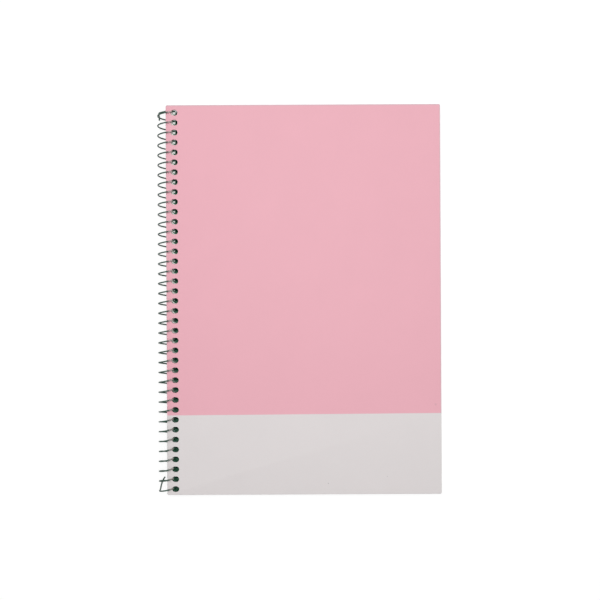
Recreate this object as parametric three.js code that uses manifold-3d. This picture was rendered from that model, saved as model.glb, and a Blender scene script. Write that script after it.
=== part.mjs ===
// Hardcover spiral notebook, closed, with its front cover up. Millimetres, +Z up.
// X runs from the bound edge to the fore edge, Y runs up the page, and the coil's axis lies along Y.

import * as THREE from 'three';
import { mergeVertices } from 'three/addons/utils/BufferGeometryUtils.js';
import Module from 'manifold-3d';

const wasm = await Module();
wasm.setup();

// Covers: a grey board wrapped in covering paper and lined with green paper inside
const coverWidth = 176;
const coverHeight = 250;
const coverCornerRadius = 1;
const boardThickness = 1.4;
const coveringThickness = 0.14;
const liningThickness = 0.12;
const turnInWidth = 15;
const turnInHoleGap = 0.8;

// The two-tone split of the covering: a grey band at the foot of the cover, cut a little out of square
const bandHeight = 51.5;
const splitTilt = THREE.MathUtils.degToRad(0.26);

// Leaves, in groups that turn one after another. They and the linings are trimmed alike
const leafStackThickness = 2.8;
const leafGroups = 5;
const foreOverhang = 3;
const endOverhang = 1.2;
const pageSpineInset = 1;
const pageCornerRadius = 1;

// One row of oval holes through every layer. The wire sits a little nearer the head than the row would
// if it were centred, and each layer's row is shifted against it. The leaves' holes stand upright, to
// give them play along the wire, and are drawn towards the fore edge.
const holePitch = 6.35;
const holeWidth = 4.4;
const holeHeight = 3.6;
const leafHoleHeight = 4.8;
const leafHoleDraw = 0.6;
const holeMargin = 3.2;
const rowEndRoom = 4;
const wireRise = 0.8;
const frontRowShift = -1.3;
const leafRowShift = -0.6;
const backRowShift = 0.1;

// Binding wire. Its loops run on past the first and the last hole by a share of a turn
const wireDiameter = 0.9;
const wireClearance = 0.45;
const axisOutset = 0.1;
const headLeadTurn = 1 / 12;
const footLeadTurn = 1 / 3;

// Hooked ends of the wire, laid outside the neighbouring loop. Each station has its distance out from
// the loops, where 1 clears the next loop, its angle about the axis, and its height in hole pitches
const hookGap = 0.48;
const headHookStations = [
  [0.95, 219, -0.8],
  [1, 220, -0.62],
  [1, 219, -0.42],
  [1, 217, -0.22],
  [0.8, 217, -0.05],
  [0.35, 232, 0.06],
  [0, 250, 0.14],
  [0, 268, 0.22],
];
const footHookStations = [
  [0, 182, -0.475],
  [0.25, 200, -0.54],
  [0.8, 212, -0.55],
  [1, 217, -0.45],
  [1.05, 222, -0.15],
  [1.05, 230, 0.22],
  [0.85, 236, 0.47],
  [0.43, 243, 0.69],
];

// Fineness of the round shapes
const cornerSteps = 1;
const coverHoleSides = 8;
const leafHoleSides = 6;
const stepsPerLoop = 12;
const stepsPerHook = 16;
const wireSides = 5;
const overcut = 1;

// Derived sizes
const turnInLedge = holeMargin - turnInHoleGap;
const coverThickness = boardThickness + 2 * coveringThickness + liningThickness;
const halfThickness = leafStackThickness / 2 + coverThickness;
const leafGroupThickness = leafStackThickness / leafGroups;
const holeCentreX = holeMargin + holeWidth / 2;
const holeCount = Math.floor((coverHeight - 2 * rowEndRoom) / holePitch) + 1;
const rowTop = ((holeCount - 1) * holePitch) / 2;
const wireRadius = wireDiameter / 2;
const coilRadius = findCoilRadius();

// Looks of the bare materials
const pinkPaper = { color: mixedColor(0.925, 0.7, 0.745), roughness: 0.75 };
const greyPaper = { color: mixedColor(0.86, 0.83, 0.83), roughness: 0.75 };
const whitePaper = { color: mixedColor(0.95, 0.95, 0.93), roughness: 0.9 };
const greenPaper = { color: mixedColor(0.35, 0.48, 0.41), roughness: 0.85 };
const greyBoard = { color: mixedColor(0.6, 0.58, 0.55), roughness: 0.95 };
const coatedWire = { color: mixedColor(0.12, 0.22, 0.18), roughness: 0.25 };

function mixedColor(red, green, blue) {
  return new THREE.Color().setRGB(red, green, blue, THREE.SRGBColorSpace);
}

// The wire leaves the outer face of a cover just inside the hole's bound side. There it is cut
// aslant, so its half width grows with the slope, and a few passes settle the two together.
function findCoilRadius() {
  const passes = 8;
  const nearest = axisOutset + holeMargin + wireClearance;
  let reach = nearest + wireRadius;
  for (let pass = 0; pass < passes; pass += 1) {
    reach = nearest + (wireRadius * Math.hypot(reach, halfThickness)) / reach;
  }
  return Math.hypot(reach, halfThickness);
}

// Solids for cutting and joining, and back to geometry for the meshes
function toSolid(geometry) {
  const bare = geometry.clone();
  bare.deleteAttribute('normal');
  bare.deleteAttribute('uv');
  const merged = mergeVertices(bare);
  const vertProperties = new Float32Array(merged.getAttribute('position').array);
  const triVerts = new Uint32Array(merged.getIndex().array);
  return new wasm.Manifold(new wasm.Mesh({ numProp: 3, vertProperties, triVerts }));
}

function toGeometry(solid) {
  const { vertProperties, triVerts } = solid.getMesh();
  const geometry = new THREE.BufferGeometry();
  geometry.setAttribute('position', new THREE.BufferAttribute(vertProperties, 3));
  geometry.setIndex(new THREE.BufferAttribute(triVerts, 1));
  geometry.computeVertexNormals();
  return geometry;
}

function makeMesh(name, geometry, finish) {
  const mesh = new THREE.Mesh(geometry, new THREE.MeshStandardMaterial(finish));
  mesh.name = name;
  return mesh;
}

// A rectangle with round corners
function sheetOutline(left, right, bottom, top, radius) {
  const outline = new THREE.Shape();
  outline.absarc(right - radius, bottom + radius, radius, -Math.PI / 2, 0);
  outline.absarc(right - radius, top - radius, radius, 0, Math.PI / 2);
  outline.absarc(left + radius, top - radius, radius, Math.PI / 2, Math.PI);
  outline.absarc(left + radius, bottom + radius, radius, Math.PI, Math.PI * 1.5);
  outline.closePath();
  return outline;
}

function coverOutline(inset) {
  const radius = coverCornerRadius - inset;
  const halfHeight = coverHeight / 2 - inset;
  return sheetOutline(inset, coverWidth - inset, -halfHeight, halfHeight, radius);
}

// The size to which the leaves and the linings are trimmed
function pageOutline() {
  const right = coverWidth - foreOverhang;
  const halfHeight = coverHeight / 2 - endOverhang;
  return sheetOutline(pageSpineInset, right, -halfHeight, halfHeight, pageCornerRadius);
}

function slab(outlines, low, high) {
  const geometry = new THREE.ExtrudeGeometry(outlines, {
    depth: high - low,
    bevelEnabled: false,
    curveSegments: cornerSteps,
  });
  geometry.translate(0, 0, low);
  return toSolid(geometry);
}

// One hole as a polygon drawn round the true oval, so that the wire keeps its room
function holeOutline(centreX, centreY, height, sides) {
  const radius = Math.min(holeWidth, height) / 2 / Math.cos(Math.PI / sides);
  const straightX = Math.max(holeWidth - height, 0) / 2;
  const straightY = Math.max(height - holeWidth, 0) / 2;
  const firstCorner = sides % 4 === 0 ? 0.5 : 0;
  const corners = [];
  for (let i = 0; i < sides; i += 1) {
    const angle = ((i + firstCorner) * 2 * Math.PI) / sides;
    const [across, up] = [Math.cos(angle), Math.sin(angle)];
    corners.push(new THREE.Vector2(
      centreX + straightX * Math.sign(across) + radius * across,
      centreY + straightY * Math.sign(up) + radius * up,
    ));
  }
  return new THREE.Shape(corners);
}

// Heights at which the wire crosses the middle of the stack, one for each hole
function wireY(hole) {
  return rowTop + wireRise - hole * holePitch;
}

// A whole row of holes as one set of punches between two heights
function punches(low, high, sides, rowShift, height = holeHeight, draw = 0) {
  const outlines = [];
  for (let hole = 0; hole < holeCount; hole += 1) {
    outlines.push(holeOutline(holeCentreX + draw, wireY(hole) + rowShift, height, sides));
  }
  return slab(outlines, low - overcut, high + overcut);
}

// Everything above the split line across the cover
function aboveSplit(tilt) {
  const reach = coverWidth + overcut;
  const splitY = (x) => bandHeight - coverHeight / 2 + (x - coverWidth / 2) * Math.tan(tilt);
  const outline = new THREE.Shape([
    new THREE.Vector2(-overcut, splitY(-overcut)),
    new THREE.Vector2(reach, splitY(reach)),
    new THREE.Vector2(reach, coverHeight),
    new THREE.Vector2(-overcut, coverHeight),
  ]);
  return slab(outline, -coverHeight, coverHeight);
}

// A cover's four layers. side is 1 for the front cover and -1 for the back one, and depths are
// measured from the outer face inwards.
function makeCover(label, side, rowShift) {
  const outerZ = side * halfThickness;
  const layer = (outline, from, to) => {
    const faces = [outerZ - side * from, outerZ - side * to].sort((a, b) => a - b);
    return slab(outline, ...faces);
  };
  const coverPunches = punches(-halfThickness, halfThickness, coverHoleSides, rowShift);
  const liningPunches = punches(-halfThickness, halfThickness, leafHoleSides, rowShift);

  const boardTop = coveringThickness;
  const boardFoot = boardTop + boardThickness;
  const turnInFoot = boardFoot + coveringThickness;
  const halfHeight = coverHeight / 2;
  const turnInMouth = sheetOutline(
    turnInLedge,
    coverWidth - turnInWidth,
    turnInWidth - halfHeight,
    halfHeight - turnInWidth,
    pageCornerRadius,
  );

  const board = layer(coverOutline(coveringThickness), boardTop, boardFoot);
  const wrap = layer(coverOutline(0), 0, turnInFoot)
    .subtract(board)
    .subtract(layer(turnInMouth, boardTop + boardThickness / 2, turnInFoot + overcut))
    .subtract(coverPunches);
  const upper = aboveSplit(side * splitTilt);
  const lining = layer(pageOutline(), turnInFoot, coverThickness)
    .add(layer(turnInMouth, boardFoot, turnInFoot))
    .subtract(liningPunches);

  const cover = new THREE.Group();
  cover.add(
    makeMesh(`${label}_board`, toGeometry(board.subtract(coverPunches)), greyBoard),
    makeMesh(`${label}_covering_pink`, toGeometry(wrap.intersect(upper)), pinkPaper),
    makeMesh(`${label}_covering_grey`, toGeometry(wrap.subtract(upper)), greyPaper),
    makeMesh(`${label}_lining`, toGeometry(lining), greenPaper),
  );
  return cover;
}

// Leaves, numbered from the front cover down
function makeLeaves() {
  const leaves = new THREE.Group();
  const topOf = (group) => leafStackThickness / 2 - group * leafGroupThickness;
  for (let group = 0; group < leafGroups; group += 1) {
    const low = topOf(group + 1);
    const high = topOf(group);
    const row = punches(low, high, leafHoleSides, leafRowShift, leafHoleHeight, leafHoleDraw);
    const block = slab(pageOutline(), low, high).subtract(row);
    leaves.add(makeMesh(`leaves_${group + 1}`, toGeometry(block), whitePaper));
  }
  return leaves;
}

// A point at a radius and an angle about the coil's axis. Angle 0 points to the fore edge, and the
// front cover is at 90 degrees.
function aroundAxis(radius, degrees, y) {
  const angle = THREE.MathUtils.degToRad(degrees);
  return new THREE.Vector3(radius * Math.cos(angle) - axisOutset, y, radius * Math.sin(angle));
}

// A right-handed wire: up through a hole, over to the left, down and back up through the next hole
function helixPoint(turn) {
  return aroundAxis(coilRadius, turn * 360, wireY(turn));
}

// The wire's centre line, from the hooked end at the head to the hooked end at the foot. Both hooks
// lie low and outside the loops, under the covers' path, and each crosses over the next loop.
function coilRoute() {
  const firstTurn = -headLeadTurn;
  const lastTurn = holeCount - 1 + footLeadTurn;
  const steps = Math.round((lastTurn - firstTurn) * stepsPerLoop);
  const turnStep = (lastTurn - firstTurn) / steps;
  const outset = wireDiameter + hookGap;
  const hookPoint = (turn) => ([out, degrees, height]) => (
    aroundAxis(coilRadius + out * outset, degrees, wireY(turn) + height * holePitch)
  );

  const head = new THREE.CatmullRomCurve3([
    ...headHookStations.map(hookPoint(0)),
    helixPoint(firstTurn - turnStep),
    helixPoint(firstTurn),
  ]);
  const foot = new THREE.CatmullRomCurve3([
    helixPoint(lastTurn),
    helixPoint(lastTurn + turnStep),
    ...footHookStations.map(hookPoint(holeCount - 1)),
  ]);
  const route = head.getSpacedPoints(stepsPerHook);
  for (let step = 1; step < steps; step += 1) {
    route.push(helixPoint(firstTurn + step * turnStep));
  }
  return route.concat(foot.getSpacedPoints(stepsPerHook));
}

// A round wire along a route, with a flat end at each tip
function wireGeometry(route) {
  const positions = [];
  const indices = [];
  const tangentAt = (i) => {
    const before = route[Math.max(i - 1, 0)];
    const after = route[Math.min(i + 1, route.length - 1)];
    return after.clone().sub(before).normalize();
  };
  const across = new THREE.Vector3(0, 0, 1);
  route.forEach((centre, i) => {
    const tangent = tangentAt(i);
    across.addScaledVector(tangent, -across.dot(tangent)).normalize();
    const other = new THREE.Vector3().crossVectors(tangent, across);
    for (let side = 0; side < wireSides; side += 1) {
      const angle = (side * 2 * Math.PI) / wireSides;
      const point = centre.clone()
        .addScaledVector(across, wireRadius * Math.cos(angle))
        .addScaledVector(other, wireRadius * Math.sin(angle));
      positions.push(point.x, point.y, point.z);
    }
  });
  for (let ring = 0; ring < route.length - 1; ring += 1) {
    for (let side = 0; side < wireSides; side += 1) {
      const next = (side + 1) % wireSides;
      const a = ring * wireSides + side;
      const b = ring * wireSides + next;
      indices.push(a, b, a + wireSides, b, b + wireSides, a + wireSides);
    }
  }
  const lastRing = (route.length - 1) * wireSides;
  for (let side = 1; side < wireSides - 1; side += 1) {
    indices.push(0, side + 1, side);
    indices.push(lastRing, lastRing + side, lastRing + side + 1);
  }
  const geometry = new THREE.BufferGeometry();
  geometry.setAttribute('position', new THREE.Float32BufferAttribute(positions, 3));
  geometry.setIndex(indices);
  geometry.computeVertexNormals();
  return geometry;
}

// The least gap between two stretches of the wire, from four diameters to two loops apart along it
function leastGap(route) {
  const line = new THREE.CatmullRomCurve3(route, false, 'chordal');
  const spacing = wireRadius;
  const points = line.getSpacedPoints(Math.round(line.getLength() / spacing));
  const nearest = Math.round((4 * wireDiameter) / spacing);
  const farthest = Math.round((2 * 2 * Math.PI * coilRadius) / spacing);
  let least = Infinity;
  for (let i = 0; i < points.length; i += 1) {
    for (let j = i + nearest; j < Math.min(i + farthest, points.length); j += 1) {
      least = Math.min(least, points[i].distanceTo(points[j]));
    }
  }
  return least - wireDiameter;
}

function makeCoil() {
  const route = coilRoute();
  console.log(`least gap of the coil to itself: ${leastGap(route).toFixed(2)} mm`);
  return makeMesh('binding_coil', wireGeometry(route), coatedWire);
}

// The origin is the middle of the foot of the notebook's box
function standOnOrigin(model) {
  const box = new THREE.Box3().setFromObject(model);
  const centre = box.getCenter(new THREE.Vector3());
  model.position.set(-centre.x, -centre.y, -box.min.z);
}

const notebook = new THREE.Group();
notebook.name = 'hardcover_spiral_notebook';
notebook.add(makeCover('front', 1, frontRowShift), makeCover('back', -1, backRowShift));
notebook.add(makeLeaves(), makeCoil());
standOnOrigin(notebook);

export default notebook;
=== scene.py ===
"""Looks of a closed hardcover spiral notebook, built round its solids.

Lengths are in metres and the frame is the solids': X runs from the bound edge to the fore edge,
Y runs up the page and Z points out of the front cover.
"""

import logging
import math
import random
from contextlib import contextmanager
from dataclasses import dataclass, field
from enum import Enum
from typing import Callable, Iterator, Sequence

import bmesh
import bpy
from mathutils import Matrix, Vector


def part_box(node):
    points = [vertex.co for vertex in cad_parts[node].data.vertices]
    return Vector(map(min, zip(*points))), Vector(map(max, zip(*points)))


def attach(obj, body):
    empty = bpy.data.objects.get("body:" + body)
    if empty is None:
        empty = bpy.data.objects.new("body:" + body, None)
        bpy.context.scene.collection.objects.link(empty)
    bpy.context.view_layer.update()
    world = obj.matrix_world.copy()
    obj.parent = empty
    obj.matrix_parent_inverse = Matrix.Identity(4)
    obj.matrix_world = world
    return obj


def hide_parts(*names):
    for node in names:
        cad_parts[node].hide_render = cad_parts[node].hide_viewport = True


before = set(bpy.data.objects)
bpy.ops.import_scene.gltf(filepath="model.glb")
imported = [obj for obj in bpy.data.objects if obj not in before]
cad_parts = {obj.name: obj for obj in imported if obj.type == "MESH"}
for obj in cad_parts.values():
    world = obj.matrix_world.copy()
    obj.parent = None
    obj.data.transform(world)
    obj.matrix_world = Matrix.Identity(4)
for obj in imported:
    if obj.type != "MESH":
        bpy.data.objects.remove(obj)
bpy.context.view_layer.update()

MM = 0.001
NEAR = 1e-6
CORNER_STEPS = 6
RIM_STEPS = 4
log = logging.getLogger("notebook")


def linear(red: float, green: float, blue: float) -> tuple[float, float, float, float]:
    """Turns a colour as it is seen on a screen, from 0 to 255, into the light it stands for.

    Args:
        red, green, blue: The screen colour's parts.

    Returns:
        The four numbers that a colour socket takes.
    """

    def part(value: float) -> float:
        share = value / 255
        return share / 12.92 if share <= 0.04045 else ((share + 0.055) / 1.055) ** 2.4

    return part(red), part(green), part(blue), 1.0


# Finishes


class Signal:
    """One output of a material's nodes, which takes part in sums as a number does."""

    def __init__(self, sheet: "NodeSheet", socket: bpy.types.NodeSocket) -> None:
        """Keeps the output and the sheet that it belongs to."""
        self.sheet = sheet
        self.socket = socket

    def _math(self, operation: str, *terms: "Signal | float") -> "Signal":
        """Adds one Math node that works on the terms."""
        return self.sheet.node("ShaderNodeMath", {"operation": operation}, dict(enumerate(terms)))

    def __add__(self, other: "Signal | float") -> "Signal":
        """The sum of two values."""
        return self._math("ADD", self, other)

    def __sub__(self, other: "Signal | float") -> "Signal":
        """This value less the other."""
        return self._math("SUBTRACT", self, other)

    def __rsub__(self, other: float) -> "Signal":
        """A number less this value."""
        return self._math("SUBTRACT", other, self)

    def __mul__(self, other: "Signal | float") -> "Signal":
        """The product of two values."""
        return self._math("MULTIPLY", self, other)

    __radd__ = __add__
    __rmul__ = __mul__

    def size(self) -> "Signal":
        """The value without its sign."""
        return self._math("ABSOLUTE", self)

    def root(self) -> "Signal":
        """The value's square root."""
        return self._math("SQRT", self)

    def least(self, other: "Signal | float") -> "Signal":
        """The smaller of two values."""
        return self._math("MINIMUM", self, other)

    def most(self, other: "Signal | float") -> "Signal":
        """The larger of two values."""
        return self._math("MAXIMUM", self, other)

    def wrapped(self, length: float) -> "Signal":
        """The value's place within stretches of one length."""
        return self._math("FLOORED_MODULO", self, length)

    def step(self, start: float, end: float) -> "Signal":
        """Rises smoothly from 0 at start to 1 at end, or falls where start is the larger."""
        low, high = min(start, end), max(start, end)
        rising = self.sheet.node(
            "ShaderNodeMapRange",
            {"interpolation_type": "SMOOTHSTEP", "clamp": True},
            {"Value": self, "From Min": low, "From Max": high},
        )
        return rising if start < end else 1 - rising


class NodeSheet:
    """The nodes of one material, round its Principled shader."""

    def __init__(self, name: str) -> None:
        """Starts a material of that name."""
        self.material = bpy.data.materials.new(name)
        self.material.use_nodes = True
        self.tree = self.material.node_tree
        self.shader = self.tree.nodes["Principled BSDF"]
        self.place = self.node("ShaderNodeTexCoord", {}, {}, "Object")

    def node(
        self,
        kind: str,
        settings: dict[str, object],
        inputs: "dict[str | int, Signal | float | Sequence[float]]",
        output: "str | int" = 0,
    ) -> Signal:
        """Adds a node.

        Args:
            kind: The node's type.
            settings: Its settings, which are made before its sockets are filled.
            inputs: Values or signals by the name or number of the socket.
            output: The socket that the result is read from.

        Returns:
            The node's output.
        """
        node = self.tree.nodes.new(kind)
        for name, value in settings.items():
            setattr(node, name, value)
        for key, value in inputs.items():
            if isinstance(value, Signal):
                self.tree.links.new(value.socket, node.inputs[key])
            else:
                node.inputs[key].default_value = value
        return Signal(self, node.outputs[output])

    def axis(self, name: str, of: "Signal | None" = None) -> Signal:
        """One coordinate of a place on the piece."""
        return self.node("ShaderNodeSeparateXYZ", {}, {0: of or self.place}, name)

    def noise(self, grain: float, detail: float = 2, squeeze: Sequence[float] = (1, 1, 1)) -> Signal:
        """A cloudy pattern about 0.

        Args:
            grain: The size of one cloud.
            detail: How many finer layers it has.
            squeeze: How much finer the pattern is along each axis.

        Returns:
            Values that run from about -0.5 to 0.5.
        """
        stretched = self.node("ShaderNodeMapping", {}, {"Vector": self.place, "Scale": squeeze})
        found = self.node(
            "ShaderNodeTexNoise", {}, {"Vector": stretched, "Scale": 1 / grain, "Detail": detail}
        )
        return found - 0.5

    def distance(self, point: Sequence[float]) -> Signal:
        """How far a place on the piece is from a point."""
        return self.node(
            "ShaderNodeVectorMath", {"operation": "DISTANCE"}, {0: self.place, 1: point}, "Value"
        )

    def mixed(self, share: "Signal | float", first: object, second: object) -> Signal:
        """A colour between two others."""
        return self.node(
            "ShaderNodeMix", {"data_type": "RGBA"}, {0: share, 6: first, 7: second}, 2
        )

    def scaled(self, colour: object, level: Signal) -> Signal:
        """A colour made lighter or darker."""
        parts = colour if isinstance(colour, Signal) else colour[:3]
        return self.node(
            "ShaderNodeVectorMath", {"operation": "SCALE"}, {0: parts, "Scale": level}, "Vector"
        )

    def finished(
        self,
        colour: Signal,
        roughness: "Signal | float",
        gloss: float,
        height: Signal,
        depth: float,
    ) -> bpy.types.Material:
        """Fills the shader's own sockets.

        Args:
            colour: The colour.
            roughness: The roughness.
            gloss: How strongly the surface mirrors, where 0.5 is plain.
            height: The pattern of its small relief.
            depth: The depth of that relief.

        Returns:
            The material.
        """
        relief = {"Height": height, "Distance": depth, "Strength": 1.0}
        bump = self.node("ShaderNodeBump", {}, relief, "Normal")
        for name, value in (("Base Color", colour), ("Roughness", roughness), ("Normal", bump)):
            if isinstance(value, Signal):
                self.tree.links.new(value.socket, self.shader.inputs[name])
            else:
                self.shader.inputs[name].default_value = value
        self.shader.inputs["Specular IOR Level"].default_value = gloss
        return self.material


@dataclass(frozen=True)
class Mark:
    """A small blemish on the cover."""

    x: float
    y: float
    radius: float
    strength: float


class Tone(Enum):
    """The covering paper's two tones: each one's own tint, a paler tint for its scuffed rims, and a
    greyer tint along the head and fore edges.
    """

    PINK = (linear(238, 178, 190), linear(247, 222, 226), linear(196, 186, 189))
    GREY = (linear(228, 222, 222), linear(244, 242, 241), linear(223, 224, 221))


@dataclass(frozen=True)
class CoveringFinish:
    """Smooth matte covering paper, drawn tight over the board."""

    name: str
    tint: tuple[float, float, float, float]
    pale_tint: tuple[float, float, float, float]
    edge_grey: tuple[float, float, float, float]
    marks: tuple[Mark, ...] = ()
    dirt: tuple[float, float, float, float] = linear(96, 84, 82)
    fibre_grain: float = 0.45 * MM
    blotch_grain: float = 3 * MM
    cloud_grain: float = 22 * MM
    fibres: float = 0.05
    blotches: float = 0.014
    clouds: float = 0.035
    rubbed_rim: float = 0.55 * MM
    rubbed_share: float = 0.3
    edge_grey_rim: float = 0.95 * MM
    edge_grey_share: float = 0.45
    roughness: float = 0.62
    gloss: float = 0.35
    relief: float = 0.012 * MM

    def material(self, low: Vector, high: Vector) -> bpy.types.Material:
        """Makes the material of one cover's covering.

        Args:
            low, high: The corners of the cover that it wraps.

        Returns:
            The material.
        """
        sheet = NodeSheet(self.name)
        centre, half = (low + high) / 2, (high - low) / 2
        along = half.x - (sheet.axis("X") - centre.x).size()
        up = half.y - (sheet.axis("Y") - centre.y).size()
        rim = along.least(up)
        fibre = sheet.noise(self.fibre_grain, 3, (1, 0.6, 1))
        cloud = sheet.noise(self.cloud_grain)
        blotch = sheet.noise(self.blotch_grain)
        level = 1 + fibre * self.fibres + cloud * self.clouds + blotch * self.blotches
        colour = sheet.scaled(self.tint, level)
        edge_band = rim.step(self.rubbed_rim, 0.1 * MM) * blotch.step(-0.06, 0.12)
        colour = sheet.mixed(edge_band * self.rubbed_share, colour, self.pale_tint)
        # Greyer along the head and fore edges.
        to_head_and_fore_edges = (high.x - sheet.axis("X")).least(high.y - sheet.axis("Y"))
        greyed = to_head_and_fore_edges.step(self.edge_grey_rim, 0.3 * self.edge_grey_rim)
        colour = sheet.mixed(greyed * self.edge_grey_share, colour, self.edge_grey)
        for mark in self.marks:
            spot = sheet.distance((mark.x, mark.y, high.z)) + blotch * (0.8 * mark.radius)
            marked = spot.step(mark.radius, 0.4 * mark.radius) * mark.strength
            colour = sheet.mixed(marked, colour, self.dirt)
        height = fibre + 0.5 * blotch
        roughness = self.roughness + 0.1 * blotch
        return sheet.finished(colour, roughness, self.gloss, height, self.relief)


@dataclass(frozen=True)
class PaintedHoleShade:
    """Painted dark green shade in the holes, most of it towards the foot."""

    # The dark green of the painted hole shade, and the widths of the bands round the holes that it
    # fills.
    tint: tuple[float, float, float, float] = linear(46, 94, 72)
    edge_band: float = 0.12 * MM
    first_leaf_band: float = 0.9 * MM
    first_leaf_from: float = 0.45
    first_leaf_depth: float = 0.1 * MM
    soft_edge: float = 0.1 * MM
    head: float = 70 * MM
    foot: float = -100 * MM

    def around(self, sheet: NodeSheet, row: "HoleRow", shift: float, top: float) -> Signal:
        """The painted shade's mask: up to 1 at the holes of the leaves, less towards the head, and 0
        elsewhere.

        Args:
            sheet: The material's nodes.
            row: The row of holes.
            shift: How far the row is moved up the page.
            top: The height of the first leaf, whose band of painted shade is the widest.

        Returns:
            The mask.
        """
        straight = abs(row.height - row.width) / 2
        across = sheet.axis("X") - row.centre_x
        place = (sheet.axis("Y") - (row.top + shift) + row.pitch / 2).wrapped(row.pitch)
        up = ((place - row.pitch / 2).size() - straight).most(0.0)
        far = (across * across + up * up).root() - row.width / 2
        lowest = top - self.first_leaf_depth
        first = sheet.axis("Z").step(lowest - 0.02 * MM, lowest + 0.02 * MM)
        # The painted shade grows from none at the head to full at the foot.
        amount = sheet.axis("Y").step(self.head, self.foot)
        late = amount.step(self.first_leaf_from, 1)
        reach = self.edge_band + first * late * (self.first_leaf_band - self.edge_band)
        return (reach - far).step(0, self.soft_edge) * amount


@dataclass(frozen=True)
class BoardFinish:
    """Raw grey board, as it shows in the walls of the punched holes, mostly overlaid with the holes'
    painted green shade.
    """

    name: str = "raw_grey_board"
    tint: tuple[float, float, float, float] = linear(120, 116, 110)
    hole_shade: PaintedHoleShade = PaintedHoleShade()
    hole_shade_share: float = 0.8
    ply_grain: float = 0.5 * MM
    pulp_grain: float = 0.3 * MM
    plies: float = 0.35
    pulp: float = 0.3
    roughness: float = 0.95
    gloss: float = 0.2
    relief: float = 0.05 * MM

    def material(self) -> bpy.types.Material:
        """Makes the board's material, with the plies of its pulp."""
        sheet = NodeSheet(self.name)
        ply = sheet.noise(self.ply_grain, 3, (0.4, 0.4, 3))
        pulp = sheet.noise(self.pulp_grain)
        # The board's grey is mixed most of the way into the painted hole shade.
        grey = sheet.mixed(self.hole_shade_share, self.tint, self.hole_shade.tint)
        colour = sheet.scaled(grey, 1 + self.plies * ply + self.pulp * pulp)
        return sheet.finished(colour, self.roughness, self.gloss, pulp, self.relief)


@dataclass(frozen=True)
class LiningFinish:
    """Green lining paper inside a cover."""

    name: str = "green_lining_paper"
    tint: tuple[float, float, float, float] = linear(52, 104, 80)
    fibre_grain: float = 0.5 * MM
    paste_grain: float = 14 * MM
    unevenness: float = 0.04
    roughness: float = 0.8
    gloss: float = 0.3
    relief: float = 0.02 * MM

    def material(self) -> bpy.types.Material:
        """Makes the lining's material, faintly uneven from its paste."""
        sheet = NodeSheet(self.name)
        fibre = sheet.noise(self.fibre_grain, 3)
        paste = sheet.noise(self.paste_grain, 3)
        level = 1 + self.unevenness * fibre + self.unevenness * paste
        colour = sheet.scaled(self.tint, level)
        height = fibre + 2 * paste
        return sheet.finished(colour, self.roughness, self.gloss, height, self.relief)


@dataclass(frozen=True)
class LeafFinish:
    """Uncoated writing paper with plain pale rules, and painted green shade round its holes."""

    name: str = "ruled_writing_paper"
    tint: tuple[float, float, float, float] = linear(243, 242, 236)
    ink: tuple[float, float, float, float] = linear(176, 188, 200)
    hole_shade: PaintedHoleShade = PaintedHoleShade()
    rule_spacing: float = 7 * MM
    rule_width: float = 0.2 * MM
    rule_strength: float = 0.8
    head_room: float = 19 * MM
    foot_room: float = 10 * MM
    fibre_grain: float = 0.4 * MM
    cloud_grain: float = 9 * MM
    fibres: float = 0.03
    clouds: float = 0.02
    roughness: float = 0.85
    gloss: float = 0.25
    relief: float = 0.01 * MM

    def material(self, low: Vector, high: Vector, row: "HoleRow", shift: float) -> bpy.types.Material:
        """Makes the leaves' material.

        Args:
            low, high: The corners of the stack of leaves.
            row: The leaves' row of holes.
            shift: How far that row is moved up the page.

        Returns:
            The material.
        """
        sheet = NodeSheet(self.name)
        fibre = sheet.noise(self.fibre_grain, 3)
        cloud = sheet.noise(self.cloud_grain)
        down = high.y - self.head_room - sheet.axis("Y")
        half = self.rule_spacing / 2
        from_rule = ((down + half).wrapped(self.rule_spacing) - half).size()
        on_rule = from_rule.step(0.7 * self.rule_width, 0.4 * self.rule_width)
        page_length = high.y - low.y - self.head_room - self.foot_room
        ruled = down.step(-0.5 * MM, -0.3 * MM) * down.step(page_length, page_length - 0.5 * MM)
        facing = sheet.node("ShaderNodeTexCoord", {}, {}, "Normal")
        flat = sheet.axis("Z", facing).size().step(0.5, 0.9)
        paper = sheet.scaled(self.tint, 1 + self.fibres * fibre + self.clouds * cloud)
        # Painted shade round the holes, growing towards the foot.
        paper = sheet.mixed(self.hole_shade.around(sheet, row, shift, high.z), paper, self.hole_shade.tint)
        colour = sheet.mixed(on_rule * ruled * flat * self.rule_strength, paper, self.ink)
        return sheet.finished(colour, self.roughness, self.gloss, fibre, self.relief)


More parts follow.
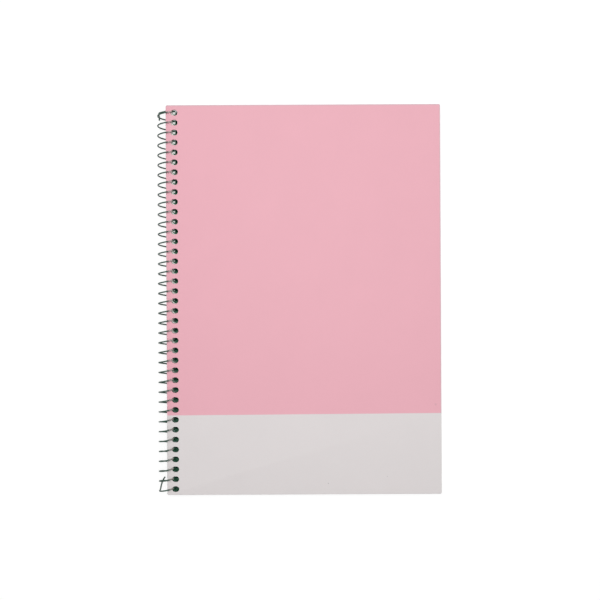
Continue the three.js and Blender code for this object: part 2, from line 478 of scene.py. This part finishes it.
@dataclass(frozen=True)
class WireFinish:
    """Steel wire in a satin, dark green coating."""

    name: str = "dark_green_coated_wire"
    tint: tuple[float, float, float, float] = linear(32, 70, 55)
    thin: tuple[float, float, float, float] = linear(58, 92, 80)
    # Pale pink of a painted highlight and reflection of the pink cover, where the loops cross the
    # cover, stronger towards the head.
    pale_tint: tuple[float, float, float, float] = linear(196, 176, 174)
    highlight_from: float = 1.7 * MM
    highlight_to: float = 4.2 * MM
    highlight_edge: float = 0.4 * MM
    highlight_foot: float = -100 * MM
    highlight_least: float = 0.4
    highlight_gain: float = 0.4
    streak_grain: float = 1.6 * MM
    coating_grain: float = 0.12 * MM
    roughness: float = 0.32
    gloss: float = 0.35
    relief: float = 0.006 * MM

    def material(self, row: "HoleRow") -> bpy.types.Material:
        """Makes the wire's material, thin in its coating here and there, with a painted highlight and
        pink reflection where the loops cross the cover.

        Args:
            row: The row of holes that the wire runs through.

        Returns:
            The material.
        """
        sheet = NodeSheet(self.name)
        streak = sheet.noise(self.streak_grain, 3, (1, 0.5, 1))
        grain = sheet.noise(self.coating_grain)
        across = sheet.axis("X") - row.left + 0.5 * MM * streak
        edge = self.highlight_edge
        begun = across.step(self.highlight_from - edge, self.highlight_from + edge)
        going = across.step(self.highlight_to + edge, self.highlight_to - edge)
        share = self.highlight_least + self.highlight_gain * sheet.axis("Y").step(self.highlight_foot, 0)
        coated = sheet.mixed(streak.step(-0.05, 0.3), self.tint, self.thin)
        # Painted highlight and reflection of the pink cover on the loops over the cover.
        colour = sheet.mixed(begun * going * share, coated, self.pale_tint)
        roughness = self.roughness + 0.12 * streak
        return sheet.finished(colour, roughness, self.gloss, grain, self.relief)


# Modelling steps


class Pick(Enum):
    """What is selected in edit mode."""

    CORNERS = "VERT"
    EDGES = "EDGE"
    FACES = "FACE"


class Bench:
    """Modelling steps that the notebook's pieces share."""

    @staticmethod
    def clear() -> None:
        """Goes back to object mode with nothing selected."""
        if bpy.context.mode != "OBJECT":
            bpy.ops.object.mode_set(mode="OBJECT")
        bpy.ops.object.select_all(action="DESELECT")

    @staticmethod
    def take(piece: bpy.types.Object) -> None:
        """Selects one piece alone."""
        Bench.clear()
        piece.select_set(True)
        bpy.context.view_layer.objects.active = piece

    @staticmethod
    @contextmanager
    def editing(piece: bpy.types.Object) -> Iterator[None]:
        """Edits a piece's mesh, with nothing selected at first."""
        Bench.take(piece)
        bpy.ops.object.mode_set(mode="EDIT")
        bpy.ops.mesh.select_all(action="DESELECT")
        yield
        bpy.ops.object.mode_set(mode="OBJECT")

    @staticmethod
    def pick(piece: bpy.types.Object, what: Pick, wanted: Callable[[Sequence[Vector]], bool]) -> None:
        """Selects parts of the mesh that is being edited.

        Args:
            piece: The piece.
            what: Whether corners, edges or faces are selected.
            wanted: Told a part's corner points, says whether it is selected.
        """
        bpy.ops.mesh.select_mode(type=what.value)
        mesh = bmesh.from_edit_mesh(piece.data)
        if what is Pick.CORNERS:
            for corner in mesh.verts:
                corner.select_set(wanted([corner.co]))
        else:
            for part in mesh.edges if what is Pick.EDGES else mesh.faces:
                part.select_set(wanted([corner.co for corner in part.verts]))
        mesh.select_flush_mode()
        bmesh.update_edit_mesh(piece.data)

    @staticmethod
    def settle(piece: bpy.types.Object) -> None:
        """Puts a piece's place, turn and size into its mesh."""
        Bench.take(piece)
        bpy.ops.object.transform_apply(location=True, rotation=True, scale=True)

    @staticmethod
    def plate(name: str, low: Vector, high: Vector, corner: float, rim: float) -> bpy.types.Object:
        """Makes a flat plate with round corners and softened rims.

        Args:
            name: The piece's name.
            low, high: Its lowest and highest corners.
            corner: The radius of its four upright corners.
            rim: The radius along its upper and lower rims, or 0.

        Returns:
            The plate.
        """
        Bench.clear()
        bpy.ops.mesh.primitive_cube_add(size=1, location=(low + high) / 2, scale=high - low)
        piece = bpy.context.object
        piece.name = name
        Bench.settle(piece)
        with Bench.editing(piece):
            Bench.pick(piece, Pick.EDGES, lambda ends: abs(ends[0].z - ends[1].z) > NEAR)
            bpy.ops.mesh.bevel(offset=corner, segments=CORNER_STEPS, affect="EDGES")
            if rim:
                Bench.pick(
                    piece,
                    Pick.EDGES,
                    lambda ends: all(p.z > high.z - NEAR for p in ends)
                    or all(p.z < low.z + NEAR for p in ends),
                )
                bpy.ops.mesh.bevel(offset=rim, segments=RIM_STEPS, affect="EDGES")
        return piece

    @staticmethod
    def twin(piece: bpy.types.Object, name: str) -> bpy.types.Object:
        """Makes a copy with a mesh of its own."""
        Bench.take(piece)
        bpy.ops.object.duplicate(linked=False)
        copy = bpy.context.object
        copy.name = name
        return copy

    @staticmethod
    def discard(*pieces: bpy.types.Object) -> None:
        """Removes helper pieces."""
        for piece in pieces:
            bpy.data.objects.remove(piece)

    @staticmethod
    def shape(piece: bpy.types.Object, kind: str, **settings: object) -> None:
        """Adds a modifier and applies it."""
        Bench.take(piece)
        bpy.ops.object.modifier_add(type=kind)
        modifier = piece.modifiers[-1]
        for name, value in settings.items():
            setattr(modifier, name, value)
        bpy.ops.object.modifier_apply(modifier=modifier.name)

    @staticmethod
    def cut(piece: bpy.types.Object, tool: bpy.types.Object, keep_inside: bool = False) -> None:
        """Cuts a piece with another, and keeps what is outside it or what is inside."""
        operation = "INTERSECT" if keep_inside else "DIFFERENCE"
        Bench.shape(piece, "BOOLEAN", operation=operation, solver="EXACT", object=tool)

    @staticmethod
    def finish(
        piece: bpy.types.Object,
        material: bpy.types.Material,
        body: str,
        slot: str,
        *nodes: str,
        smooth: float = 35,
    ) -> bpy.types.Object:
        """slot: Not used. The material slot that it takes its finish from.
            nodes: The solids that it stands for.
            smooth: The angle in degrees up to which neighbouring faces shade as one.

        Returns:
            The piece.
        """
        Bench.take(piece)
        bpy.ops.object.shade_smooth_by_angle(angle=math.radians(smooth))
        piece.data.materials.clear()
        piece.data.materials.append(material)
        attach(piece, body)
        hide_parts(*nodes)
        log.info("%s: %d faces, rides on %s", piece.name, len(piece.data.polygons), body)
        return piece


@dataclass
class HoleRow:
    """The row of oval holes that the coil is threaded through."""

    left: float
    count: int = 39
    pitch: float = 6.35 * MM
    width: float = 4.4 * MM
    height: float = 3.6 * MM
    margin: float = 3.2 * MM
    sides: int = 24
    overcut: float = 1 * MM

    @property
    def centre_x(self) -> float:
        """The middle of each hole across the cover."""
        return self.left + self.margin + self.width / 2

    @property
    def top(self) -> float:
        """The height on the page of the first hole."""
        return (self.count - 1) * self.pitch / 2

    def punch(
        self, low: float, high: float, shift: float, flare: float = 0, side: int = 1
    ) -> bpy.types.Object:
        """Makes the tool that cuts the whole row.

        Args:
            low, high: The heights between which it cuts.
            shift: How far the row is moved up the page.
            flare: How much wider the holes are at the face that is pressed by the punch.
            side: 1 where that face is the upper one, and -1 where it is the lower one.

        Returns:
            The tool, as one piece.
        """
        Bench.clear()
        centre = Vector((self.centre_x, self.top + shift, (low + high) / 2))
        flared = high if side > 0 else low
        ends = [low - self.overcut, high + self.overcut]
        if flare:
            ends[side > 0] = flared - side * flare
        bpy.ops.mesh.primitive_cylinder_add(
            vertices=self.sides,
            radius=min(self.width, self.height) / 2,
            depth=ends[1] - ends[0],
            location=(centre.x, centre.y, sum(ends) / 2),
            rotation=(0, 0, math.pi / self.sides),
        )
        tool = bpy.context.object
        Bench.settle(tool)
        straight = abs(self.width - self.height) / 2
        long_axis = 0 if self.width > self.height else 1
        with Bench.editing(tool):
            for way in (1, -1):
                move = Vector()
                move[long_axis] = way * straight
                Bench.pick(tool, Pick.CORNERS, lambda at: (at[0] - centre).dot(move) > NEAR * NEAR)
                bpy.ops.transform.translate(value=move)
            if flare:
                end = ends[side > 0]
                Bench.pick(tool, Pick.FACES, lambda at: all(abs(p.z - end) < NEAR for p in at))
                widen = (1 + 2 * flare / self.width, 1 + 2 * flare / self.height, 1)
                bpy.ops.mesh.extrude_region_move(
                    TRANSFORM_OT_translate={"value": (0, 0, side * flare)}
                )
                bpy.ops.transform.resize(value=widen, center_override=(centre.x, centre.y, flared))
                bpy.ops.mesh.extrude_region_move(
                    TRANSFORM_OT_translate={"value": (0, 0, side * self.overcut)}
                )
        Bench.shape(
            tool,
            "ARRAY",
            count=self.count,
            use_relative_offset=False,
            use_constant_offset=True,
            constant_offset_displace=(0, -self.pitch, 0),
        )
        return tool


# Sub-assemblies


class Side(Enum):
    """Which cover it is, as the way its outer face looks."""

    FRONT = 1
    BACK = -1


@dataclass
class Cover:
    """A grey board wrapped in covering paper of two tones, with a green lining inside."""

    side: Side
    row_shift: float
    board_thickness: float = 1.4 * MM
    covering_thickness: float = 0.14 * MM
    lining_thickness: float = 0.12 * MM
    lining_slope: float = 0.6 * MM
    lining_sink: float = 0.8
    turn_in: float = 15 * MM
    turn_in_ledge: float = 2.4 * MM
    fore_overhang: float = 3 * MM
    end_overhang: float = 1.2 * MM
    spine_inset: float = 1 * MM
    corner: float = 1 * MM
    rim: float = 0.4 * MM
    page_corner: float = 1 * MM
    band_height: float = 51.5 * MM
    split_tilt: float = math.radians(0.26)
    hole_flare: float = 0.09 * MM
    low: Vector = field(init=False)
    high: Vector = field(init=False)

    def __post_init__(self) -> None:
        """Reads where the cover's solids are."""
        lows, highs = zip(*(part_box(self.node(part)) for part in ("covering_pink", "covering_grey")))
        self.low = Vector(map(min, *lows))
        self.high = Vector(map(max, *highs))

    @property
    def label(self) -> str:
        """The cover's name in its nodes."""
        return self.side.name.lower()

    @property
    def body(self) -> str:
        """The body that the cover rides on."""
        return "front_cover" if self.side is Side.FRONT else "back_cover_with_coil"

    def node(self, part: str) -> str:
        """The node of one of the cover's layers."""
        return f"{self.label}_{part}"

    def between(self, start: float, end: float) -> tuple[float, float]:
        """The heights of a layer, from its depths below the cover's outer face."""
        outer = self.high.z if self.side is Side.FRONT else self.low.z
        return tuple(sorted(outer - self.side.value * depth for depth in (start, end)))

    def layer(
        self, name: str, inset: Sequence[float], depths: Sequence[float], corner: float, rim: float
    ) -> bpy.types.Object:
        """Makes one plate of the cover.

        Args:
            name: The piece's name.
            inset: How far it stays inside the cover at its left, right, foot and head.
            depths: Where it starts and ends below the outer face.
            corner: The radius of its corners.
            rim: The radius of its rims.

        Returns:
            The plate.
        """
        bottom, top = self.between(*depths)
        left, right, foot, head = inset
        low = Vector((self.low.x + left, self.low.y + foot, bottom))
        high = Vector((self.high.x - right, self.high.y - head, top))
        return Bench.plate(name, low, high, corner, rim)

    def wedge(self) -> bpy.types.Object:
        """Makes the tool that parts the covering's two tones, above their line."""
        Bench.clear()
        reach = self.high.y - self.low.y
        tilt = self.side.value * self.split_tilt
        centre_x = (self.low.x + self.high.x) / 2
        line = self.low.y + self.band_height
        bpy.ops.mesh.primitive_cube_add(size=reach, location=(0, reach / 2, 0))
        tool = bpy.context.object
        Bench.settle(tool)
        tool.rotation_euler.z = tilt
        tool.location = (centre_x, line, 0)
        Bench.settle(tool)
        return tool

    def build(
        self,
        pink: bpy.types.Material,
        grey: bpy.types.Material,
        board: bpy.types.Material,
        lining: bpy.types.Material,
    ) -> None:
        """Builds the cover's four pieces.

        Args:
            pink, grey: The materials of the covering's two tones.
            board: The board's material.
            lining: The lining's material.
        """
        foot = self.covering_thickness + self.board_thickness
        wrapped = foot + self.covering_thickness
        skin = (self.covering_thickness,) * 4
        around = (self.turn_in_ledge,) + (self.turn_in,) * 3
        row = HoleRow(self.low.x)
        bottom, top = self.between(0, wrapped + self.lining_thickness)
        punch = row.punch(bottom, top, self.row_shift, self.hole_flare, self.side.value)

        board_plate = self.layer(
            f"{self.label}_grey_board",
            skin,
            (self.covering_thickness, foot),
            self.corner - self.covering_thickness,
            self.rim - self.covering_thickness,
        )
        wrap = self.layer(f"{self.label}_pink_covering", (0,) * 4, (0, wrapped), self.corner, self.rim)
        mouth_depths = (foot - 0.5 * MM, wrapped + 1 * MM)
        mouth = self.layer("mouth", around, mouth_depths, self.page_corner, 0)
        Bench.cut(wrap, board_plate)
        Bench.cut(wrap, mouth)
        Bench.cut(wrap, punch)
        Bench.cut(board_plate, punch)
        band = Bench.twin(wrap, f"{self.label}_grey_covering")
        wedge = self.wedge()
        Bench.cut(wrap, wedge, keep_inside=True)
        Bench.cut(band, wedge)

        lining_plate = self.lining(wrapped)
        Bench.cut(lining_plate, punch)
        Bench.discard(punch, mouth, wedge)

        Bench.finish(wrap, pink, self.body, "pink_covering_paper", self.node("covering_pink"))
        Bench.finish(band, grey, self.body, "grey_covering_paper", self.node("covering_grey"))
        Bench.finish(board_plate, board, self.body, "grey_board", self.node("board"))
        Bench.finish(lining_plate, lining, self.body, "lining_paper", self.node("lining"))

    def lining(self, depth: float) -> bpy.types.Object:
        """Makes the lining, which sinks from the turned-in covering to the board.

        Args:
            depth: How far below the outer face the turned-in covering ends.

        Returns:
            The lining.
        """
        inset = (self.spine_inset, self.fore_overhang, self.end_overhang, self.end_overhang)
        depths = (depth, depth + self.lining_thickness)
        piece = self.layer(f"{self.label}_green_lining", inset, depths, self.page_corner, 0)
        ledges = (
            (0, self.low.x + self.turn_in_ledge, 1),
            (0, self.high.x - self.turn_in, -1),
            (1, self.low.y + self.turn_in, 1),
            (1, self.high.y - self.turn_in, -1),
        )
        with Bench.editing(piece):
            for axis, edge, inward in ledges:
                for offset in (0, self.lining_slope):
                    bpy.ops.mesh.select_all(action="SELECT")
                    point, normal = Vector(), Vector()
                    point[axis] = edge + inward * offset
                    normal[axis] = 1
                    bpy.ops.mesh.bisect(plane_co=point, plane_no=normal)
            sunk = self.lining_slope - 0.01 * NEAR
            Bench.pick(
                piece,
                Pick.CORNERS,
                lambda at: all((at[0][axis] - edge) * inward > sunk for axis, edge, inward in ledges),
            )
            sink = self.side.value * self.lining_sink * self.covering_thickness
            bpy.ops.transform.translate(value=(0, 0, sink))
        return piece


@dataclass
class LeafStack:
    """The leaves, as separate sheets in groups that turn one after another."""

    groups: tuple[str, ...] = (
        "upper_leaves",
        "upper_middle_leaves",
        "lower_middle_leaves",
        "lower_leaves",
        "back_cover_with_coil",
    )
    sheets: int = 6
    sheet_thickness: float = 0.086 * MM
    corner: float = 1 * MM
    spine_inset: float = 1 * MM
    hole_draw: float = 0.6 * MM
    hole_height: float = 4.8 * MM
    row_shift: float = 0.2 * MM
    stray: float = 0.04 * MM
    seed: int = 11

    def row(self, left: float) -> HoleRow:
        """The row of holes of leaves whose bound edge is at left."""
        return HoleRow(left - self.spine_inset + self.hole_draw, height=self.hole_height, sides=16)

    def sheet(self, low: Vector, high: Vector) -> bpy.types.Object:
        """Makes one sheet with its holes, at the foot of a group.

        Args:
            low, high: The corners of the group.

        Returns:
            The sheet.
        """
        top = low.z + self.sheet_thickness
        piece = Bench.plate("sheet", low, Vector((high.x, high.y, top)), self.corner, 0)
        punch = self.row(low.x).punch(low.z, top, self.row_shift)
        Bench.cut(piece, punch)
        Bench.discard(punch)
        return piece

    def build(self, paper: bpy.types.Material) -> None:
        """Builds the five groups, each as six sheets that lie a little unevenly."""
        rng = random.Random(self.seed)
        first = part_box("leaves_5")
        model = self.sheet(*first)
        for number, body in enumerate(self.groups, start=1):
            low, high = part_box(f"leaves_{number}")
            pitch = (high.z - low.z) / self.sheets
            room = pitch - self.sheet_thickness
            copies = []
            for index in range(self.sheets):
                copy = Bench.twin(model, f"sheet_{number}_{index}")
                copy.location = (
                    rng.uniform(-self.stray, self.stray),
                    rng.uniform(-self.stray, self.stray),
                    low.z - first[0].z + index * pitch + room / 2,
                )
                Bench.settle(copy)
                copies.append(copy)
            Bench.clear()
            for copy in copies:
                copy.select_set(True)
            bpy.context.view_layer.objects.active = copies[0]
            bpy.ops.object.join()
            group = bpy.context.object
            group.name = f"leaf_group_{number}"
            Bench.finish(group, paper, body, "leaf_paper", f"leaves_{number}")
        Bench.discard(model)


@dataclass
class Coil:
    """The binding wire, with a hooked end at the head and one at the foot."""

    row: HoleRow
    axis_z: float
    half_thickness: float = 3.2 * MM
    axis_outset: float = 0.1 * MM
    rise: float = 0.8 * MM
    wire: float = 0.9 * MM
    clearance: float = 0.45 * MM
    hook_gap: float = 0.48 * MM
    head_lead: float = 1 / 12
    foot_lead: float = 1 / 3
    bend_lead: float = 1 / 12
    # A station says how far outside the loops a hook is, at how many degrees about the axis,
    # and how many turns up the page from its hole.
    head_stations: tuple[tuple[float, float, float], ...] = (
        (0.95, 219, -0.8),
        (1, 220, -0.62),
        (1, 219, -0.42),
        (1, 217, -0.22),
        (0.8, 217, -0.05),
        (0.35, 232, 0.06),
        (0, 250, 0.14),
        (0, 268, 0.22),
    )
    foot_stations: tuple[tuple[float, float, float], ...] = (
        (0, 182, -0.475),
        (0.25, 200, -0.54),
        (0.8, 212, -0.55),
        (1, 217, -0.45),
        (1.05, 222, -0.15),
        (1.05, 230, 0.22),
        (0.85, 236, 0.47),
        (0.43, 243, 0.69),
    )
    steps: int = 48

    @property
    def radius(self) -> float:
        """The loops' radius, which leaves the wire its room at the holes' bound side."""
        nearest = self.axis_outset + self.row.margin + self.clearance
        reach = nearest + self.wire / 2
        for _ in range(8):
            slope = math.hypot(reach, self.half_thickness) / reach
            reach = nearest + self.wire / 2 * slope
        return math.hypot(reach, self.half_thickness)

    def around(self, radius: float, degrees: float, y: float) -> Vector:
        """A point at a radius and an angle about the coil's axis."""
        angle = math.radians(degrees)
        centre = self.row.left - self.axis_outset
        return Vector(
            (centre + radius * math.cos(angle), y, self.axis_z + radius * math.sin(angle))
        )

    def level(self, turn: float) -> float:
        """The height on the page at which the wire has made that many turns."""
        return self.row.top + self.rise - turn * self.row.pitch

    def helix(self, turn: float) -> Vector:
        """A point of the loops, that many turns past the first hole."""
        return self.around(self.radius, 360 * turn, self.level(turn))

    def hook(self, stations: Sequence[Sequence[float]], hole: int) -> list[Vector]:
        """The points of a hooked end, beside a hole."""
        outset = self.wire + self.hook_gap
        return [
            self.around(self.radius + out * outset, degrees, self.level(hole - height))
            for out, degrees, height in stations
        ]

    @staticmethod
    def smooth(points: Sequence[Vector], steps: int = 8) -> list[Vector]:
        """A smooth line through points, at an even pace between neighbours.

        Args:
            points: The points that it passes.
            steps: How many points it gets for each stretch.

        Returns:
            The line's points.
        """
        ends = [2 * points[0] - points[1], *points, 2 * points[-1] - points[-2]]
        line = []
        for a, b, c, d in zip(ends, ends[1:], ends[2:], ends[3:]):
            knots = [0.0]
            for p, q in ((a, b), (b, c), (c, d)):
                knots.append(knots[-1] + max((q - p).length, 1e-9) ** 0.5)
            for step in range(steps):
                t = knots[1] + (knots[2] - knots[1]) * step / steps

                def between(p: Vector, q: Vector, i: int, j: int) -> Vector:
                    share = (t - knots[i]) / (knots[j] - knots[i])
                    return p * (1 - share) + q * share

                ab, bc, cd = between(a, b, 0, 1), between(b, c, 1, 2), between(c, d, 2, 3)
                line.append(between(between(ab, bc, 0, 2), between(bc, cd, 1, 3), 1, 2))
        return [*line, points[-1]]

    def route(self) -> list[Vector]:
        """The wire's centre line, from the head's hook to the foot's."""
        first, last = -self.head_lead, self.row.count - 1 + self.foot_lead
        count = round((last - first) * self.steps)
        turn = (last - first) / count
        loops = [self.helix(first + step * turn) for step in range(count + 1)]
        head_hook = self.hook(self.head_stations, 0)
        foot_hook = self.hook(self.foot_stations, self.row.count - 1)
        head = self.smooth([*head_hook, self.helix(first - self.bend_lead), loops[0]])
        foot = self.smooth([loops[-1], self.helix(last + self.bend_lead), *foot_hook])
        return [*head[:-1], *loops, *foot[1:]]

    def build(self, coating: bpy.types.Material) -> None:
        """Builds the wire as one round tube along its route."""
        points = self.route()
        Bench.clear()
        bpy.ops.curve.primitive_nurbs_path_add()
        path = bpy.context.object
        path.name = "dark_green_coil"
        path.data.splines.clear()
        line = path.data.splines.new("POLY")
        line.points.add(len(points) - 1)
        for knot, point in zip(line.points, points):
            knot.co = (*point, 1)
        path.data.bevel_depth = self.wire / 2
        path.data.bevel_resolution = 4
        path.data.use_fill_caps = True
        Bench.take(path)
        bpy.ops.object.convert(target="MESH")
        piece = bpy.context.object
        with Bench.editing(piece):
            bpy.ops.mesh.select_all(action="SELECT")
            bpy.ops.mesh.remove_doubles(threshold=0.1 * NEAR)
            bpy.ops.mesh.normals_make_consistent(inside=False)
        Bench.finish(
            piece, coating, "back_cover_with_coil", "coated_wire", "binding_coil", smooth=60
        )


# Surroundings


@dataclass(frozen=True)
class Lamp:
    """A soft square lamp that faces the middle of the notebook."""

    name: str
    power: float
    size: float
    place: tuple[float, float, float]


@dataclass
class Studio:
    """A pale glowing floor with a painted shadow under the notebook, soft light and a camera straight
    above.
    """

    distance: float = 530 * MM
    pixel: float = 0.641 * MM
    frame_pixels: int = 600
    sensor: float = 36
    roll: float = math.radians(-0.27)
    centre_pixel: tuple[float, float] = (303.2, 299.05)
    nadir_pixel: float = 256
    sky: float = 0.33
    lamps: tuple[Lamp, ...] = (
        Lamp("soft_head_lamp", power=4.04, size=0.5, place=(-0.01, 0.17, 0.8)),
        Lamp("soft_side_lamp", power=6, size=0.6, place=(1.9, 0.38, 1.6)),
    )
    floor_size: float = 8
    floor_glow: float = 0.82
    floor_matte: float = 0.25
    floor_shade: float = 0.8
    # The painted shadow under the notebook, and the painted light that reaches in from the bound edge
    # and towards the head, seen through the holes.
    floor_rim: float = 2 * MM
    floor_end_rim: float = 4.4 * MM
    floor_reach: float = 2.8 * MM
    floor_reach_gain: float = 0.0084
    floor_reach_edge: float = 0.5 * MM
    floor_dark_from: float = -100 * MM
    floor_pale_from: float = 50 * MM
    floor_dark: tuple[float, float, float, float] = (0.004, 0.022, 0.012, 1)
    floor_pale: tuple[float, float, float, float] = (0.8, 0.86, 0.82, 1)

    def seen(self, tree: bpy.types.NodeTree) -> bpy.types.NodeSocket:
        """1 for what the camera, a gloss or a clear piece sees, and 0 for plain light."""
        path = tree.nodes.new("ShaderNodeLightPath")
        found = path.outputs["Is Camera Ray"]
        for name in ("Is Glossy Ray", "Is Transmission Ray"):
            either = tree.nodes.new("ShaderNodeMath")
            either.operation = "MAXIMUM"
            tree.links.new(found, either.inputs[0])
            tree.links.new(path.outputs[name], either.inputs[1])
            found = either.outputs[0]
        return found

    def light_world(self) -> None:
        """Surrounds the notebook with soft light that is white to the camera."""
        world = bpy.data.worlds.new("soft_surroundings")
        bpy.context.scene.world = world
        world.use_nodes = True
        tree = world.node_tree
        tree.nodes.clear()
        out = tree.nodes.new("ShaderNodeOutputWorld")
        mix = tree.nodes.new("ShaderNodeMixShader")
        for index, strength in ((1, self.sky), (2, 1.0)):
            glow = tree.nodes.new("ShaderNodeBackground")
            glow.inputs["Color"].default_value = (1, 1, 1, 1)
            glow.inputs["Strength"].default_value = strength
            tree.links.new(glow.outputs[0], mix.inputs[index])
        tree.links.new(self.seen(tree), mix.inputs[0])
        tree.links.new(mix.outputs[0], out.inputs[0])

    def under_notebook(
        self, sheet: NodeSheet, coil_x: float, low: Vector, high: Vector
    ) -> tuple[Signal, Signal]:
        """Finds where the floor is covered, and how it looks there through the holes.

        Args:
            sheet: The floor's nodes.
            coil_x: Where the coil touches the floor, which is the floor's own middle.
            low, high: The corners of the back cover.

        Returns:
            1 under the notebook and 0 beside it, and the colour there: a painted dark shadow, paler
            with painted light near the bound edge and the head.
        """
        across, up = sheet.axis("X"), sheet.axis("Y")
        from_bound_edge = across - (low.x - coil_x)
        from_ends = (high.y - up.size()) * (self.floor_rim / self.floor_end_rim)
        inside = from_bound_edge.least(high.x - coil_x - across).least(from_ends)
        reach = self.floor_reach + (up - low.y) * self.floor_reach_gain
        lit = (reach - from_bound_edge).step(-self.floor_reach_edge, self.floor_reach_edge)
        lit = lit * up.step(self.floor_dark_from, self.floor_pale_from)
        return inside.step(0, self.floor_rim), sheet.mixed(lit, self.floor_dark, self.floor_pale)

    def lay_floor(self, coil_x: float, low: Vector, high: Vector) -> None:
        """Lays the floor under the coil and the fore edge, which are what the notebook rests on.

        Args:
            coil_x: Where the coil touches it.
            low, high: The corners of the back cover.
        """
        Bench.clear()
        lean = math.atan2(low.z, high.x - coil_x)
        bpy.ops.mesh.primitive_plane_add(
            size=self.floor_size, location=(coil_x, 0, 0), rotation=(0, -lean, 0)
        )
        floor = bpy.context.object
        floor.name = "pale_floor"
        sheet = NodeSheet("pale_floor")
        covered, under = self.under_notebook(sheet, coil_x, low, high)
        tree = sheet.tree
        tree.nodes.remove(sheet.shader)
        out = tree.nodes["Material Output"]
        mix = tree.nodes.new("ShaderNodeMixShader")
        both = tree.nodes.new("ShaderNodeAddShader")
        # Under the notebook the glow is the painted shadow and painted light, not lit shade.
        white = sheet.mixed(covered, (1, 1, 1, 1), under)
        glow = sheet.node("ShaderNodeEmission", {}, {"Color": white, "Strength": self.floor_glow})
        for level, target in ((self.floor_shade, mix.inputs[1]), (self.floor_matte, both.inputs[0])):
            pale = sheet.mixed(covered, (level, level, level, 1), (0, 0, 0, 1))
            matte = sheet.node("ShaderNodeBsdfDiffuse", {}, {"Color": pale})
            tree.links.new(matte.socket, target)
        tree.links.new(glow.socket, both.inputs[1])
        tree.links.new(both.outputs[0], mix.inputs[2])
        tree.links.new(self.seen(tree), mix.inputs[0])
        tree.links.new(mix.outputs[0], out.inputs[0])
        floor.data.materials.append(sheet.material)

    def hang_lamps(self) -> None:
        """Hangs soft lamps above the head of the page and far out at the fore edge's side."""
        for lamp in self.lamps:
            Bench.clear()
            bpy.ops.object.light_add(type="AREA", location=lamp.place)
            light = bpy.context.object
            light.name = lamp.name
            light.rotation_euler = Vector(lamp.place).to_track_quat("Z", "Y").to_euler()
            light.data.energy = lamp.power
            light.data.size = lamp.size

    def place_camera(self, face: Vector) -> None:
        """Places the camera straight above the front cover.

        Args:
            face: The middle of the front cover's outer face.
        """
        Bench.clear()
        middle = (self.frame_pixels - 1) / 2
        right = (self.centre_pixel[0] - middle) * self.pixel
        up = (middle - self.centre_pixel[1]) * self.pixel
        drop = (middle - self.nadir_pixel) * self.pixel
        offset = Vector((-right, drop - up, 0))
        turned = Vector(
            (
                offset.x * math.cos(self.roll) - offset.y * math.sin(self.roll),
                offset.x * math.sin(self.roll) + offset.y * math.cos(self.roll),
                self.distance,
            )
        )
        bpy.ops.object.camera_add(location=face + turned, rotation=(0, 0, self.roll))
        camera = bpy.context.object
        camera.name = "above"
        camera.data.sensor_width = self.sensor
        camera.data.lens = self.sensor / self.frame_pixels * self.distance / self.pixel
        camera.data.shift_y = -(middle - self.nadir_pixel) / self.frame_pixels
        camera.data.clip_start = 10 * MM
        camera.data.clip_end = 100
        bpy.context.scene.camera = camera

    def build(self, face: Vector, coil_x: float, low: Vector, high: Vector) -> None:
        """Sets up all of the surroundings.

        Args:
            face: The middle of the front cover's outer face.
            coil_x: Where the coil touches the floor.
            low, high: The corners of the back cover.
        """
        self.light_world()
        self.lay_floor(coil_x, low, high)
        self.hang_lamps()
        self.place_camera(face)
        view = bpy.context.scene.view_settings
        view.view_transform = "Standard"


def main() -> None:
    """Builds the notebook and its surroundings."""
    logging.basicConfig(level=logging.INFO, format="%(name)s: %(message)s")
    front, back = Cover(Side.FRONT, row_shift=-0.5 * MM), Cover(Side.BACK, row_shift=0.9 * MM)
    face = Vector(((front.low.x + front.high.x) / 2, 0, front.high.z))
    marks = (
        Mark(x=face.x + 15.3 * MM, y=-117.9 * MM, radius=0.45 * MM, strength=0.35),
        Mark(x=face.x + 53.1 * MM, y=-113.6 * MM, radius=0.4 * MM, strength=0.3),
        Mark(x=face.x + 84.4 * MM, y=-67.6 * MM, radius=1.1 * MM, strength=0.12),
    )
    board, lining = BoardFinish().material(), LiningFinish().material()
    for cover, spots in ((front, marks), (back, ())):
        pink, grey = (
            CoveringFinish(f"{tone.name.lower()}_covering_{cover.label}", *tone.value, spots)
            for tone in Tone
        )
        corners = (cover.low, cover.high)
        cover.build(pink.material(*corners), grey.material(*corners), board, lining)
    stack_low, stack_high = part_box("leaves_5")[0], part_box("leaves_1")[1]
    leaves = LeafStack()
    row = leaves.row(stack_low.x)
    leaves.build(LeafFinish().material(stack_low, stack_high, row, leaves.row_shift))
    coil = Coil(HoleRow(front.low.x), (back.low.z + front.high.z) / 2)
    coil.build(WireFinish().material(coil.row))
    Studio().build(face, coil.around(0, 0, 0).x, back.low, back.high)


if __name__ == "__main__":
    main()
